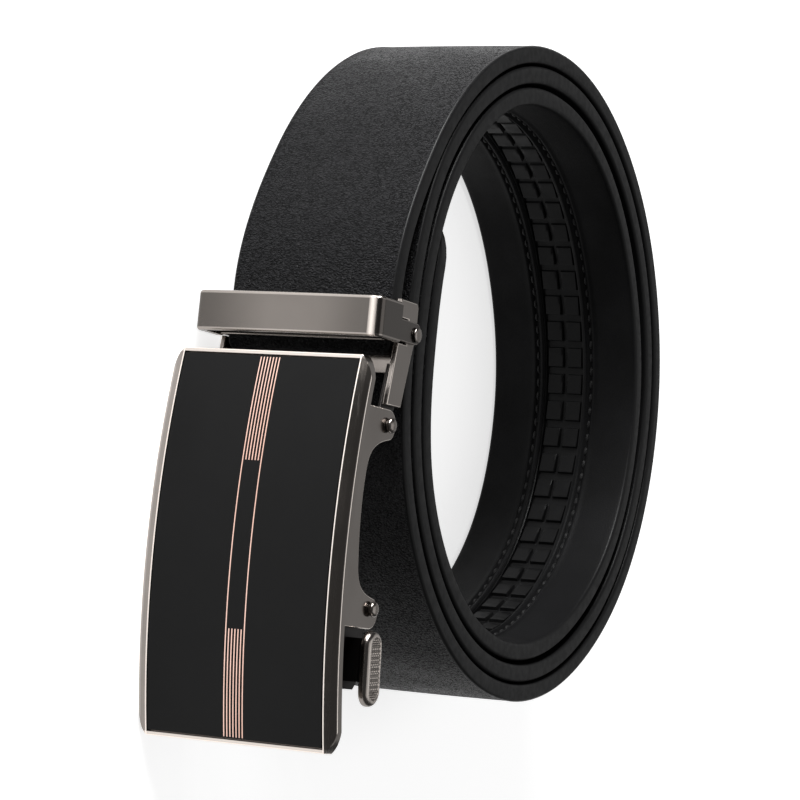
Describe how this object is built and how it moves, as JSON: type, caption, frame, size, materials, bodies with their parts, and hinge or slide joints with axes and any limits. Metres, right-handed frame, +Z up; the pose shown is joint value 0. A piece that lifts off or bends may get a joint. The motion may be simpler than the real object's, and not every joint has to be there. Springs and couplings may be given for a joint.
{
  "type": "ratchet belt",
  "caption": "Coiled leather ratchet belt with a curved plate buckle, a clamp on the strap end and a side release lever.",
  "frame": {"origin": "on the floor under the middle of the coiled belt's outline, lying on its edge", "axes": "+Z up, across the strap towards the release lever; +X along the buckle plate from its clamp end to its free end; -Y the way the plate faces"},
  "size_m": [0.1468, 0.16, 0.0432],
  "materials": {
    "leather": "satin",
    "track": "satin",
    "gunmetal": "satin",
    "inlay": "gloss",
    "dark_steel": "satin"
  },
  "bodies": {
    "root": {"strap": "leather", "ratchet_track": "track", "link": "gunmetal", "clamp_flap": "gunmetal", "clip_pin": "gunmetal", "hinge_pin": "gunmetal"},
    "cover": {"cover": "gunmetal", "inlay": "inlay", "pawl_pin": "gunmetal"},
    "pawl": {"pawl": "dark_steel", "lever": "gunmetal"}
  },
  "joints": [
    {"name": "cover_hinge", "type": "hinge", "parent": "root", "child": "cover", "pos_m": [0.01234, -0.06336, 0.02105], "axis": [0, 0, -1], "range_deg": [-12, 18]},
    {"name": "release_lever", "type": "hinge", "parent": "cover", "child": "pawl", "pos_m": [0.04644, -0.06356, 0.02105], "axis": [0, 0, 1], "range_deg": [0, 12], "stiffness_Nm_per_rad": 0.15, "springref_deg": -5.73}
  ]
}
